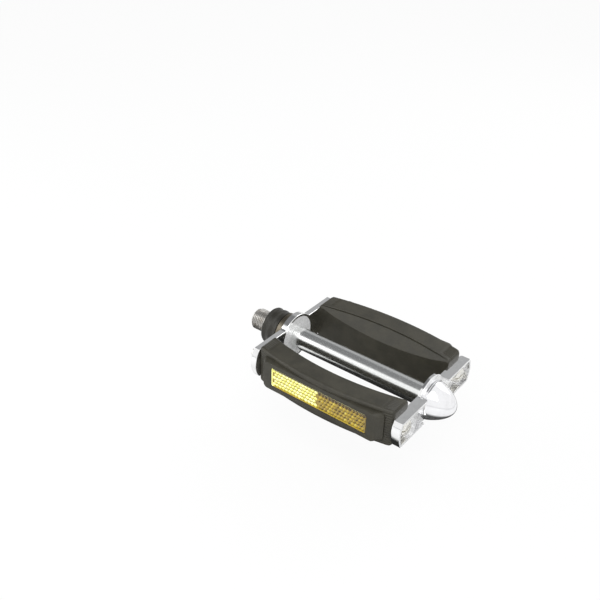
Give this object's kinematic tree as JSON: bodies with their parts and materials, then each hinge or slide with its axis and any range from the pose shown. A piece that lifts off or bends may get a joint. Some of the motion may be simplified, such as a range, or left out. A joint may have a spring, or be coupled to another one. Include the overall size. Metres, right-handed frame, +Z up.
{
  "type": "flat pedal",
  "caption": "Flat rubber-block pedal with amber reflectors, chromed end plates, a barrel tube on ball bearings and a threaded spindle.",
  "frame": {"origin": "on the spindle's axis, at the shoulder face that seats against the crank", "axes": "+X along the spindle away from the crank, +Z up, +Y towards the rear block"},
  "size_m": [0.1484, 0.087, 0.031],
  "materials": {
    "block_rubber": "matt moulded rubber with fine cross ribs",
    "amber_lens": "clear amber plastic with moulded prisms",
    "reflector_back": "moulded",
    "plate_chrome": "pressed steel, chrome plated",
    "barrel_chrome": "drawn tube, chrome plated",
    "cap_chrome": "drawn cap, chrome plated",
    "cup_steel": "turned steel with a film of grease",
    "spindle_steel": "turned and hardened steel",
    "bearing_steel": "turned steel",
    "ball_steel": "polished ball",
    "fastener_steel": "nickel plated",
    "boot_rubber": "satin black rubber"
  },
  "bodies": {
    "spindle_set": {"spindle": "spindle_steel", "dust_boot": "boot_rubber", "adjusting_cone": "bearing_steel", "lock_washer": "bearing_steel", "lock_nut": "bearing_steel"},
    "pedal_body": {"inner_cup": "cup_steel", "bearing_shield": "cup_steel", "barrel_tube": "barrel_chrome", "outer_cup": "cup_steel", "dust_cap": "cap_chrome", "inner_plate": "plate_chrome", "outer_plate": "plate_chrome", "front_block": "block_rubber", "rear_block": "block_rubber", "front_reflector_lens": "amber_lens", "rear_reflector_lens": "amber_lens", "front_reflector_back": "reflector_back", "rear_reflector_back": "reflector_back", "front_sleeve": "bearing_steel", "rear_sleeve": "bearing_steel", "front_bolt": "fastener_steel", "rear_bolt": "fastener_steel", "head_washers": "fastener_steel", "nut_washers": "fastener_steel", "bolt_nuts": "fastener_steel"},
    "inner_ball_ring": {"inner_balls": "ball_steel"},
    "outer_ball_ring": {"outer_balls": "ball_steel"}
  },
  "joints": [
    {"name": "pedal_spin", "type": "hinge", "parent": "spindle_set", "child": "pedal_body", "pos_m": [0.069, 0, 0], "axis": [1, 0, 0], "continuous": true},
    {"name": "inner_balls_roll", "type": "hinge", "parent": "spindle_set", "child": "inner_ball_ring", "pos_m": [0.015, 0, 0], "axis": [1, 0, 0], "continuous": true},
    {"name": "outer_balls_roll", "type": "hinge", "parent": "spindle_set", "child": "outer_ball_ring", "pos_m": [0.1186, 0, 0], "axis": [1, 0, 0], "continuous": true}
  ],
  "couplings": [
    {"joint": "inner_balls_roll", "follows": "pedal_spin", "ratio": 0.587},
    {"joint": "outer_balls_roll", "follows": "pedal_spin", "ratio": 0.594}
  ]
}
